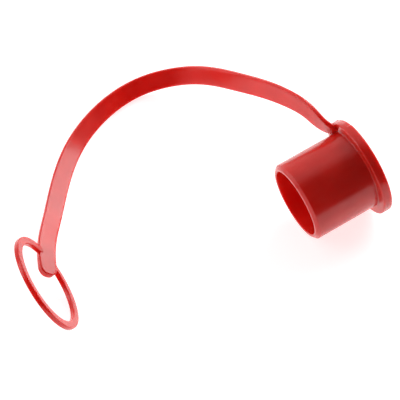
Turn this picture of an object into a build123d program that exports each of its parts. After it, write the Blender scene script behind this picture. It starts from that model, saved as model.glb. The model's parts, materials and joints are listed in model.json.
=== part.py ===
"""Push-on protection cap with a retaining strap and ring, one soft PVC moulding.

Millimetres, +Z up. The part lies at rest on Z = 0: the cap on its flange rim and mouth edge,
the ring on its lower edge, and the strap, bowed out between them, on its inner edge.
+X runs from the ring to the cap.
"""
import os
from math import atan2, cos, radians, sin, sqrt

from build123d import *

os.makedirs("parts", exist_ok=True)

# ---- cap ----
cup_d = 27.4               # outside of the cup
cup_wall = 2.1
cup_len = 23.4             # mouth to the near face of the flange
flange_d = 33.8
flange_t = 3.3
end_wall = 2.4             # closes the cup behind the bore
lip_len, lip_in = 1.0, 1.2  # bevel round the outside of the mouth, along and across
lip_round = 0.4            # softening of that bevel's two corners
bore_round = 0.25          # inner edge of the mouth
edge_round = 0.5           # edges of the flange
root_round = 0.4           # cup into flange
mouth_x, mouth_y = 29.4, 6.1
cap_turn = radians(30.2)   # heading of the cap's axis, mouth to flange

# ---- strap ----
strap_w_cap, strap_t_cap = 6.8, 1.6    # width and thickness where it leaves the flange
strap_w_ring, strap_t_ring = 6.2, 1.6  # and where it meets the ring
strap_round = 0.5          # long edges of the strap
face_lean = radians(37.2)  # the strap's face looks up and leans forward by this much
bow_roll = radians(20)     # roll of the face off that direction, in the bow
ring_roll, cap_roll = radians(40), radians(80)  # and at the strap's two ends

# ---- ring and tongue ----
ring_d = 33.2
ring_band = 2.7            # radial width of the band
ring_t = 1.7
ring_round = 0.45
ring_seat = 3.9            # along the strap from its first point, where the band crosses it
ring_set_back = 1.1        # middle of the band behind the middle of the strap
ring_turn = radians(17.9)  # heading of the ring's axis
ring_rise = radians(28.5)  # its axis stands this much above level
tongue_len = 4.5           # rounded end standing past the strap's first point
tongue_t = 2.2
tongue_round = 0.5

# ---- directions and points that follow from the sizes ----
bore_d = cup_d - 2 * cup_wall
lean = atan2(flange_d - cup_d, 2 * (cup_len - lip_len))  # flange rim and lip both touch down
axis_dir = Vector(cos(lean) * cos(cap_turn), cos(lean) * sin(cap_turn), sin(lean))
side_dir = axis_dir.cross(Vector(0, 0, 1)).normalized()
mouth = Vector(mouth_x, mouth_y, cup_d / 2 * cos(lean) - lip_len * sin(lean))

ring_axis = Vector(
    cos(ring_rise) * cos(ring_turn), cos(ring_rise) * sin(ring_turn), sin(ring_rise)
)
ring_side = ring_axis.cross(Vector(0, 0, 1)).normalized()
ring_down = ring_axis.cross(ring_side)
ring_z = (                 # the ring's lower edge touches the table
    (ring_d / 2 - ring_round) * cos(ring_rise)
    + (ring_t / 2 - ring_round) * sin(ring_rise)
    + ring_round
)

face_up = Vector(0, -sin(face_lean), cos(face_lean))

strap_points = [           # middle of the strap, from the tongue to inside the flange
    (-50.3, -16.2, 10.6),
    (-50.8, -6.9, 9.9),
    (-49.9, 4.6, 7.2),
    (-48.8, 15.7, 5.2),
    (-44.5, 36.6, 3.5),
    (-35.1, 53.7, 3.05),
    (-21.3, 65.3, 3.3),
    (-5.2, 66.2, 7.6),
    (11.1, 55.5, 16.6),
    (20.9, 46.5, 22.8),
    (28.1, 39.2, 26.6),
    (34.5, 32.3, 28.0),
    (38.4, 28.5, 26.8),
    (43.9, 27.0, 25.0),
]


def half_plane(origin, radial, axis):
    """Sketch plane through an axis of revolution: X is the radius, Y runs along the axis."""
    return Plane(origin=origin, x_dir=radial, z_dir=radial.cross(axis))


def strap_plane(line, f):
    """Section plane of the strap: X across its width, Y through its thickness."""
    ahead = line.tangent_at(f)
    across = face_up.cross(ahead).normalized()
    lift = ahead.cross(across)
    # the face turns mostly close to the cap, and a little close to the ring
    roll = bow_roll + (cap_roll - bow_roll) * f**6 + (ring_roll - bow_roll) * (1 - f) ** 20
    return Plane(
        origin=line.position_at(f), x_dir=across * cos(roll) + lift * sin(roll), z_dir=ahead
    )


with BuildLine() as strap_line:
    Spline(*strap_points)
path = strap_line.edge()
start = strap_plane(path, 0)

# the ring's middle, one mean radius from its seat on the strap and level with ring_z
seat = strap_plane(path, ring_seat / path.length)
held = seat.origin - seat.y_dir * ring_set_back
ring_mean = (ring_d - ring_band) / 2
fall = (ring_z - held.Z) / ring_mean / -ring_down.Z
ring_centre = held - (ring_down * fall - ring_side * sqrt(1 - fall**2)) * ring_mean

with BuildPart() as tongue:
    with BuildSketch(Plane(origin=start.origin, x_dir=-start.z_dir, z_dir=start.y_dir)):
        SlotOverall(2 * tongue_len, strap_w_ring)
    extrude(amount=tongue_t / 2, both=True)
    fillet(tongue.edges().filter_by(GeomType.CIRCLE), radius=tongue_round)

with BuildPart() as protection_cap:
    # cup and flange, turned about the cap's axis
    with BuildSketch(half_plane(mouth, side_dir, axis_dir)):
        with BuildLine():
            Polyline(
                (0, cup_len + flange_t - end_wall),
                (bore_d / 2, cup_len + flange_t - end_wall),
                (bore_d / 2, bore_round),
                (bore_d / 2 + bore_round, 0),
                (cup_d / 2 - lip_in, 0),
                (cup_d / 2, lip_len),
                (cup_d / 2, cup_len),
                (flange_d / 2, cup_len),
                (flange_d / 2, cup_len + flange_t),
                (0, cup_len + flange_t),
                close=True,
            )
        make_face()
        for along, radius, rounding in (
            (0, cup_d / 2 - lip_in, lip_round),
            (lip_len, cup_d / 2, lip_round),
            (cup_len, cup_d / 2, root_round),
            (cup_len, flange_d / 2, edge_round),
            (cup_len + flange_t, flange_d / 2, edge_round),
        ):
            fillet(vertices().sort_by_distance((radius, along))[0], radius=rounding)
    revolve(axis=Axis(mouth, axis_dir))

    # strap: one soft line from the ring, round the bow, into the flange
    stations = 31
    for i in range(stations):
        f = i / (stations - 1)
        width = strap_w_ring + (strap_w_cap - strap_w_ring) * f
        thickness = strap_t_ring + (strap_t_cap - strap_t_ring) * f
        with BuildSketch(strap_plane(path, f)):
            RectangleRounded(width, thickness, strap_round)
    loft()
    add(tongue.part)

    # ring
    with BuildSketch(half_plane(ring_centre, ring_side, ring_axis)):
        with Locations((ring_d / 2 - ring_band / 2, 0)):
            RectangleRounded(ring_band, ring_t, ring_round)
    revolve(axis=Axis(ring_centre, ring_axis))

# origin on the table, under the middle of the part
box = protection_cap.part.bounding_box()
middle = Location((-box.center().X, -box.center().Y, -box.min.Z))
with BuildPart() as placed:
    add(protection_cap.part.moved(middle))
placed.part.label = "protection_cap"
export_step(placed.part, "parts/protection_cap.step")
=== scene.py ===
"""Looks of the protection cap: one glossy soft PVC moulding on a pale studio table.

Metres, +Z up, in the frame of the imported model. The moulding is built again as one fine mesh
from the same driving sizes: cup with flange, strap with tongue, and ring, joined into one.
"""
import json
from math import atan2, cos, pi, radians, sin, sqrt

import bmesh
import bpy
import numpy as np
from mathutils import Matrix, Vector


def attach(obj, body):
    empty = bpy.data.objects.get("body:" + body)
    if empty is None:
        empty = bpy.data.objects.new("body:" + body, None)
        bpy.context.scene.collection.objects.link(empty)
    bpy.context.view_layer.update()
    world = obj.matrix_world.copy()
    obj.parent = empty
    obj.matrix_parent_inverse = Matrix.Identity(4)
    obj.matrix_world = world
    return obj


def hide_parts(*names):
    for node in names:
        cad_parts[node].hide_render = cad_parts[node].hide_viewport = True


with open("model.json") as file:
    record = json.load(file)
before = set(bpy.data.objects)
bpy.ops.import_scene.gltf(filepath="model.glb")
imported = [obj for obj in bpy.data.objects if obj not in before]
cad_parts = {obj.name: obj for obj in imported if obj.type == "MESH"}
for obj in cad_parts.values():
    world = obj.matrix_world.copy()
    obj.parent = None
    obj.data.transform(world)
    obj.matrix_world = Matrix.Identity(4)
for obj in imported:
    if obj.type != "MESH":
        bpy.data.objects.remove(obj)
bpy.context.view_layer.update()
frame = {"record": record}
bore = frame["record"]["mounts"][0]

MM = 0.001

# ---- sizes of the moulding, as in the part ----
cup_d, cup_wall, cup_len = 27.4 * MM, 2.1 * MM, 23.4 * MM
flange_d, flange_t, end_wall = 33.8 * MM, 3.3 * MM, 2.4 * MM
lip_len, lip_in = 1.0 * MM, 1.2 * MM
lip_round, bore_round, edge_round, root_round = 0.4 * MM, 0.25 * MM, 0.5 * MM, 0.4 * MM
mouth_x, mouth_y = 29.4 * MM, 6.1 * MM
cap_turn = radians(30.2)

strap_w_cap, strap_t_cap = 6.8 * MM, 1.6 * MM
strap_w_ring, strap_t_ring = 6.2 * MM, 1.6 * MM
strap_round = 0.5 * MM
face_lean = radians(37.2)
bow_roll, ring_roll, cap_roll = radians(20), radians(40), radians(80)

ring_d, ring_band, ring_t, ring_round = 33.2 * MM, 2.7 * MM, 1.7 * MM, 0.45 * MM
ring_seat, ring_set_back = 3.9 * MM, 1.1 * MM
ring_turn, ring_rise = radians(17.9), radians(28.5)
tongue_len, tongue_t, tongue_round = 4.5 * MM, 2.2 * MM, 0.5 * MM

strap_points = np.array([  # middle of the strap in millimetres, from the tongue to the flange
    (-50.3, -16.2, 10.6),
    (-50.8, -6.9, 9.9),
    (-49.9, 4.6, 7.2),
    (-48.8, 15.7, 5.2),
    (-44.5, 36.6, 3.5),
    (-35.1, 53.7, 3.05),
    (-21.3, 65.3, 3.3),
    (-5.2, 66.2, 7.6),
    (11.1, 55.5, 16.6),
    (20.9, 46.5, 22.8),
    (28.1, 39.2, 26.6),
    (34.5, 32.3, 28.0),
    (38.4, 28.5, 26.8),
    (43.9, 27.0, 25.0),
]) * MM

# ---- details of the mesh alone ----
bore_end_round = 0.6 * MM                         # where the bore meets the end wall
land_from, land_turn = radians(212), radians(38)  # sunk land along the rim's back edge
land_band, land_sunk = 1.2 * MM, 0.22 * MM
land_ramp = 0.03                                  # radians, at each end of the land
pip_angles = (radians(222), radians(229))         # gate pips on the rim's front edge
pip_band, pip_inset = 0.9 * MM, 0.4 * MM
pip_rise, pip_radius = 0.3 * MM, 0.8 * MM

# ---- directions and places that follow ----
lean = atan2(flange_d - cup_d, 2 * (cup_len - lip_len))
axis_dir = Vector((cos(lean) * cos(cap_turn), cos(lean) * sin(cap_turn), sin(lean)))
mouth = Vector((mouth_x, mouth_y, cup_d / 2 * cos(lean) - lip_len * sin(lean)))
ring_axis = Vector(
    (cos(ring_rise) * cos(ring_turn), cos(ring_rise) * sin(ring_turn), sin(ring_rise))
)
ring_z = (
    (ring_d / 2 - ring_round) * cos(ring_rise)
    + (ring_t / 2 - ring_round) * sin(ring_rise)
    + ring_round
)
face_up = Vector((0, -sin(face_lean), cos(face_lean)))

# the straight of the bore is centred on its mount, from the mouth's rounding to the end wall
bore_depth = cup_len + flange_t - end_wall
mouth_placed = Vector(bore["pos_m"]) + Vector(bore["axis"]) * (bore_depth + bore_round) / 2
placing = mouth_placed - mouth


# ---- mesh helpers ----
def bridge(bm, here, there):
    """Faces between two closed loops with as many points."""
    for j in range(len(here)):
        k = (j + 1) % len(here)
        bm.faces.new((here[j], here[k], there[k], there[j]))


def turned(origin, axis, profile, steps, shape=None):
    """bmesh of a closed (radius, along) profile turned about an axis; shape may move a point."""
    z = axis.normalized()
    x = z.cross(Vector((0, 0, 1))).normalized()
    y = z.cross(x)
    bm = bmesh.new()
    loops = []
    for i in range(steps):
        angle = 2 * pi * i / steps
        out = x * cos(angle) + y * sin(angle)
        loop = []
        for radius, along in profile:
            if shape:
                radius, along = shape(radius, along, angle)
            loop.append(bm.verts.new(origin + out * radius + z * along))
        loops.append(loop)
    for here, there in zip(loops, loops[1:] + loops[:1]):
        bridge(bm, here, there)
    bmesh.ops.remove_doubles(bm, verts=bm.verts, dist=1e-7)
    bmesh.ops.recalc_face_normals(bm, faces=bm.faces)
    return bm


def rounded(corners, spacing):
    """Closed outline through (x, y, rounding) corners, each rounding an arc, long sides divided."""
    arc_steps = 6
    points = []
    for i, (x, y, r) in enumerate(corners):
        here = Vector((x, y))
        if r <= 0:
            points.append(here)
            continue
        before = (Vector(corners[i - 1][:2]) - here).normalized()
        after = (Vector(corners[(i + 1) % len(corners)][:2]) - here).normalized()
        half = before.angle(after) / 2
        reach = r / np.tan(half)
        centre = here + (before + after).normalized() * r / sin(half)
        start, end = here + before * reach - centre, here + after * reach - centre
        for j in range(arc_steps + 1):
            points.append(centre + start.lerp(end, j / arc_steps).normalized() * r)
    outline = []
    for here, there in zip(points, points[1:] + points[:1]):
        parts = max(1, round((there - here).length / spacing))
        outline += [tuple(here.lerp(there, j / parts)) for j in range(parts)]
    return outline


def cubic_line(points, samples):
    """Evenly spaced places and directions along a smooth curve through the points."""
    steps = np.linalg.norm(np.diff(points, axis=0), axis=1)
    knots = np.concatenate([[0], np.cumsum(steps)])
    count = len(points)

    def end_slope(index, at):
        fits = [np.polyfit(knots[index], points[index, k], 3) for k in range(3)]
        return np.array([np.polyval(np.polyder(fit), knots[at]) for fit in fits])

    # slopes at the points: equal curvature on both sides, and a cubic's slope at either end
    matrix, right = np.zeros((count, count)), np.zeros((count, 3))
    matrix[0, 0] = matrix[-1, -1] = 1
    right[0] = end_slope(slice(0, 4), 0)
    right[-1] = end_slope(slice(count - 4, count), count - 1)
    for i in range(1, count - 1):
        a, b = steps[i - 1], steps[i]
        matrix[i, i - 1 : i + 2] = b, 2 * (a + b), a
        rise_in = (points[i] - points[i - 1]) / a
        rise_out = (points[i + 1] - points[i]) / b
        right[i] = 3 * (b * rise_in + a * rise_out)
    slopes = np.linalg.solve(matrix, right)

    # the curve finely, then spaced evenly along its length
    fine_at = np.linspace(0, knots[-1], 4000)
    i = np.clip(np.searchsorted(knots, fine_at) - 1, 0, count - 2)
    h = steps[i][:, None]
    t = ((fine_at - knots[i])[:, None]) / h
    fine = (
        (2 * t**3 - 3 * t**2 + 1) * points[i]
        + (t**3 - 2 * t**2 + t) * h * slopes[i]
        + (3 * t**2 - 2 * t**3) * points[i + 1]
        + (t**3 - t**2) * h * slopes[i + 1]
    )
    length = np.concatenate([[0], np.cumsum(np.linalg.norm(np.diff(fine, axis=0), axis=1))])
    even = np.linspace(0, length[-1], samples)
    places = np.stack([np.interp(even, length, fine[:, k]) for k in range(3)], axis=1)
    heading = np.gradient(places, axis=0)
    heading /= np.linalg.norm(heading, axis=1)[:, None]
    return [Vector(p) for p in places], [Vector(d) for d in heading]


def section(width, thickness, rounding):
    """Points round a strap's section, with the same number whatever its size."""
    arc_steps, face_parts, edge_parts = 5, 9, 2
    rounding = min(rounding, width * 0.499, thickness * 0.499)
    flat_x, flat_y = width / 2 - rounding, thickness / 2 - rounding
    arcs = []
    for corner, (side_x, side_y) in enumerate(((1, 1), (-1, 1), (-1, -1), (1, -1))):
        angles = [pi / 2 * (corner + j / arc_steps) for j in range(arc_steps + 1)]
        x, y = side_x * flat_x, side_y * flat_y
        arcs.append([(x + cos(angle) * rounding, y + sin(angle) * rounding) for angle in angles])
    points = []
    for corner, (arc, following) in enumerate(zip(arcs, arcs[1:] + arcs[:1])):
        points += arc
        (x, y), (next_x, next_y) = arc[-1], following[0]
        parts = edge_parts if corner % 2 else face_parts
        for f in (j / parts for j in range(1, parts)):
            points.append((x + (next_x - x) * f, y + (next_y - y) * f))
    return points


def strap_frame(heading, f):
    """Directions across the strap and out of its face at fraction f of its length."""
    across = face_up.cross(heading).normalized()
    lift = heading.cross(across)
    # the face turns mostly close to the cap, and a little close to the ring
    roll = bow_roll + (cap_roll - bow_roll) * f**6 + (ring_roll - bow_roll) * (1 - f) ** 20
    across = across * cos(roll) + lift * sin(roll)
    return across, heading.cross(across)


def middle_of_ring():
    """One mean radius from the band's seat on the strap, and level with ring_z."""
    places, headings = cubic_line(strap_points, 600)
    gone = 0
    for i in range(1, len(places)):
        gone += (places[i] - places[i - 1]).length
        if gone >= ring_seat:
            break
    across, out = strap_frame(headings[i], i / (len(places) - 1))
    held = places[i] - out * ring_set_back
    side = ring_axis.cross(Vector((0, 0, 1))).normalized()
    down = ring_axis.cross(side)
    mean = (ring_d - ring_band) / 2
    fall = (ring_z - held.z) / mean / -down.z
    return held - (down * fall - side * sqrt(1 - fall**2)) * mean


# ---- sub-parts ----
def cup_and_flange():
    """Cup with its bevelled lip, closed by the flange; the flange's rim has its moulding marks."""
    cup_r, bore_r = cup_d / 2, cup_d / 2 - cup_wall
    profile = rounded(
        [
            (0, bore_depth, 0),
            (bore_r, bore_depth, bore_end_round),
            (bore_r, 0, bore_round),
            (cup_r - lip_in, 0, lip_round),
            (cup_r, lip_len, lip_round),
            (cup_r, cup_len, root_round),
            (flange_d / 2, cup_len, edge_round),
            (flange_d / 2, cup_len + flange_t, edge_round),
            (0, cup_len + flange_t, 0),
        ],
        0.7 * MM,
    )
    return turned(mouth, axis_dir, profile, 288, flange_marks)


def flange_marks(radius, along, angle):
    """Witness marks of the mould: a sunk land on the rim's back edge and two gate pips."""
    if radius > flange_d / 2 - land_band and along > cup_len + flange_t * 0.55:
        turn = (angle - land_from) % (2 * pi)
        if turn < land_turn:
            radius -= land_sunk * min(1, turn / land_ramp, (land_turn - turn) / land_ramp)
    for pip in pip_angles:
        away = (angle - pip + pi) % (2 * pi) - pi
        reach = sqrt((away * flange_d / 2) ** 2 + (along - cup_len - pip_inset) ** 2)
        if radius > flange_d / 2 - pip_band and reach < pip_radius:
            along -= pip_rise * (0.5 + 0.5 * cos(pi * reach / pip_radius))
    return radius, along


def strap():
    """Flat strap swept along its line, its free end rounded into the tongue."""
    stations, round_rows, straight_rows = 280, 14, 8
    places, headings = cubic_line(strap_points, stations)
    half = strap_w_ring / 2
    start, back = places[0], -headings[0]
    across, out = strap_frame(headings[0], 0)
    rows = []
    for i in range(round_rows + straight_rows):
        if i < round_rows:
            turn = pi / 2 * i / round_rows
            gone = half * (1 - cos(turn))
            width = 2 * half * sin(turn)
        else:
            gone = half + (tongue_len - half) * (i - round_rows) / straight_rows
            width = 2 * half
        short = max(0, tongue_round - gone)
        thin = 2 * (tongue_round - sqrt(max(0, tongue_round**2 - short**2)))
        middle = start + back * (tongue_len - gone)
        rows.append((middle, across, out, max(width, 0.02 * MM), tongue_t - thin))
    for i in range(stations):
        f = i / (stations - 1)
        across, out = strap_frame(headings[i], f)
        width = strap_w_ring + (strap_w_cap - strap_w_ring) * f
        thickness = strap_t_ring + (strap_t_cap - strap_t_ring) * f
        thickness += (tongue_t - strap_t_ring) * (1 - f) ** 30  # eases out of the tongue
        rows.append((places[i], across, out, width, thickness))
    bm = bmesh.new()
    loops = []
    for middle, across, out, width, thickness in rows:
        outline = section(width, thickness, strap_round)
        loops.append([bm.verts.new(middle + across * x + out * y) for x, y in outline])
    for here, there in zip(loops, loops[1:]):
        bridge(bm, here, there)
    bm.faces.new(loops[0])
    bm.faces.new(loops[-1])
    bmesh.ops.recalc_face_normals(bm, faces=bm.faces)
    return bm


def ring():
    """Flat ring on the strap's end."""
    inner, outer = ring_d / 2 - ring_band, ring_d / 2
    profile = rounded(
        [
            (inner, -ring_t / 2, ring_round),
            (outer, -ring_t / 2, ring_round),
            (outer, ring_t / 2, ring_round),
            (inner, ring_t / 2, ring_round),
        ],
        0.5 * MM,
    )
    return turned(middle_of_ring(), ring_axis, profile, 240)


def as_object(name, bm):
    mesh = bpy.data.meshes.new(name)
    bm.to_mesh(mesh)
    bm.free()
    thing = bpy.data.objects.new(name, mesh)
    bpy.context.collection.objects.link(thing)
    return thing


def moulding():
    """The sub-parts joined as one closed mesh, placed where the part lies."""
    whole = as_object("cap_moulding", cup_and_flange())
    for name, bm in (("strap_piece", strap()), ("ring_piece", ring())):
        other = as_object(name, bm)
        joined = whole.modifiers.new("join", "BOOLEAN")
        joined.operation = "UNION"
        joined.solver = "EXACT"
        joined.object = other
        graph = bpy.context.evaluated_depsgraph_get()
        mesh = bpy.data.meshes.new_from_object(whole.evaluated_get(graph))
        whole.modifiers.clear()
        whole.data = mesh
        bpy.data.objects.remove(other)
    whole.data.transform(Matrix.Translation(placing))
    for polygon in whole.data.polygons:
        polygon.use_smooth = True
    whole.data.set_sharp_from_angle(angle=radians(40))
    return whole


# ---- materials ----
def soft_pvc():
    """Glossy red plasticised PVC: a little see-through, faintly mottled, with fine flow ripples."""
    material = bpy.data.materials.new("glossy_soft_pvc")
    material.use_nodes = True
    nodes, links = material.node_tree.nodes, material.node_tree.links
    surface = nodes["Principled BSDF"]
    place = nodes.new("ShaderNodeTexCoord")

    mottle = nodes.new("ShaderNodeTexNoise")
    mottle.inputs["Scale"].default_value = 90
    mottle.inputs["Detail"].default_value = 4
    links.new(place.outputs["Object"], mottle.inputs["Vector"])
    colours = nodes.new("ShaderNodeValToRGB")
    deep, bright = colours.color_ramp.elements
    deep.position, deep.color = 0.3, (0.62, 0.016, 0.010, 1)
    bright.position, bright.color = 0.75, (0.74, 0.026, 0.016, 1)
    links.new(mottle.outputs["Fac"], colours.inputs["Fac"])
    links.new(colours.outputs["Color"], surface.inputs["Base Color"])

    gloss = nodes.new("ShaderNodeMapRange")
    gloss.inputs["To Min"].default_value = 0.14
    gloss.inputs["To Max"].default_value = 0.26
    links.new(mottle.outputs["Fac"], gloss.inputs["Value"])
    links.new(gloss.outputs["Result"], surface.inputs["Roughness"])

    ripple = nodes.new("ShaderNodeTexNoise")
    ripple.inputs["Scale"].default_value = 260
    ripple.inputs["Detail"].default_value = 3
    links.new(place.outputs["Object"], ripple.inputs["Vector"])
    bump = nodes.new("ShaderNodeBump")
    bump.inputs["Strength"].default_value = 0.25
    bump.inputs["Distance"].default_value = 0.12 * MM
    links.new(ripple.outputs["Fac"], bump.inputs["Height"])
    links.new(bump.outputs["Normal"], surface.inputs["Normal"])

    surface.inputs["Subsurface Weight"].default_value = 1.0
    surface.inputs["Subsurface Radius"].default_value = (1.0, 0.06, 0.04)
    surface.inputs["Subsurface Scale"].default_value = 4 * MM
    surface.inputs["IOR"].default_value = 1.5
    return material


def pale_table():
    """White, and glowing a little, so that the part hardly casts a shadow on it."""
    material = bpy.data.materials.new("pale_table")
    material.use_nodes = True
    surface = material.node_tree.nodes["Principled BSDF"]
    surface.inputs["Base Color"].default_value = (0.8, 0.8, 0.8, 1)
    surface.inputs["Roughness"].default_value = 0.7
    surface.inputs["Emission Color"].default_value = (1, 1, 1, 1)
    surface.inputs["Emission Strength"].default_value = 0.75
    return material


# ---- studio ----
def table():
    """Plain square, a hair below the part."""
    bm = bmesh.new()
    bmesh.ops.create_grid(bm, x_segments=1, y_segments=1, size=2.0)
    floor = as_object("table", bm)
    floor.location.z = -0.2 * MM
    floor.data.materials.append(pale_table())


def area_light(name, place, target, size, power):
    light = bpy.data.lights.new(name, "AREA")
    light.shape = "RECTANGLE"
    light.size, light.size_y = size
    light.energy = power
    lamp = bpy.data.objects.new(name, light)
    lamp.location = place
    lamp.rotation_euler = (Vector(target) - Vector(place)).to_track_quat("-Z", "Y").to_euler()
    bpy.context.collection.objects.link(lamp)


def lights():
    """Two soft lamps in a light tent that is dark towards its open front."""
    area_light("right_back", (0.45, 0.62, 0.42), (0, 0, 0), (0.7, 0.5), 4.5)
    area_light("left_side", (-0.75, 0.0, 0.4), (-0.04, 0, 0.01), (0.5, 0.4), 1.2)
    world = bpy.data.worlds.new("studio")
    world.use_nodes = True
    nodes, links = world.node_tree.nodes, world.node_tree.links
    direction = nodes.new("ShaderNodeTexCoord")
    facing = nodes.new("ShaderNodeVectorMath")
    facing.operation = "DOT_PRODUCT"
    facing.inputs[1].default_value = (0.25, -0.75, 0.61)  # towards the open front
    links.new(direction.outputs["Generated"], facing.inputs[0])
    tent = nodes.new("ShaderNodeValToRGB")
    lit, dark = tent.color_ramp.elements
    lit.position, lit.color = 0.2, (1, 1, 1, 1)
    dark.position, dark.color = 0.6, (0.06, 0.06, 0.06, 1)
    links.new(facing.outputs["Value"], tent.inputs["Fac"])
    background = nodes["Background"]
    background.inputs["Strength"].default_value = 0.7
    links.new(tent.outputs["Color"], background.inputs["Color"])
    bpy.context.scene.world = world


def camera():
    """Looks along +Y and down at the table, with the cap's mouth right of the middle."""
    rise, away = radians(52.75), 620 * MM
    mouth_right, mouth_down = 30.9 * MM, 1.12 * MM
    right = Vector((1, 0, 0))
    up = Vector((0, sin(rise), cos(rise)))
    back = Vector((0, -cos(rise), sin(rise)))
    data = bpy.data.cameras.new("camera")
    data.sensor_width = 36
    data.lens = 171.7
    eye = bpy.data.objects.new("camera", data)
    eye.location = mouth_placed - right * mouth_right + up * mouth_down + back * away
    eye.rotation_euler = (pi / 2 - rise, 0, 0)
    bpy.context.collection.objects.link(eye)
    bpy.context.scene.camera = eye


cap = moulding()
cap.data.materials.append(soft_pvc())
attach(cap, "root")
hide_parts("protection_cap")
table()
lights()
camera()
bpy.context.scene.view_settings.view_transform = "Standard"
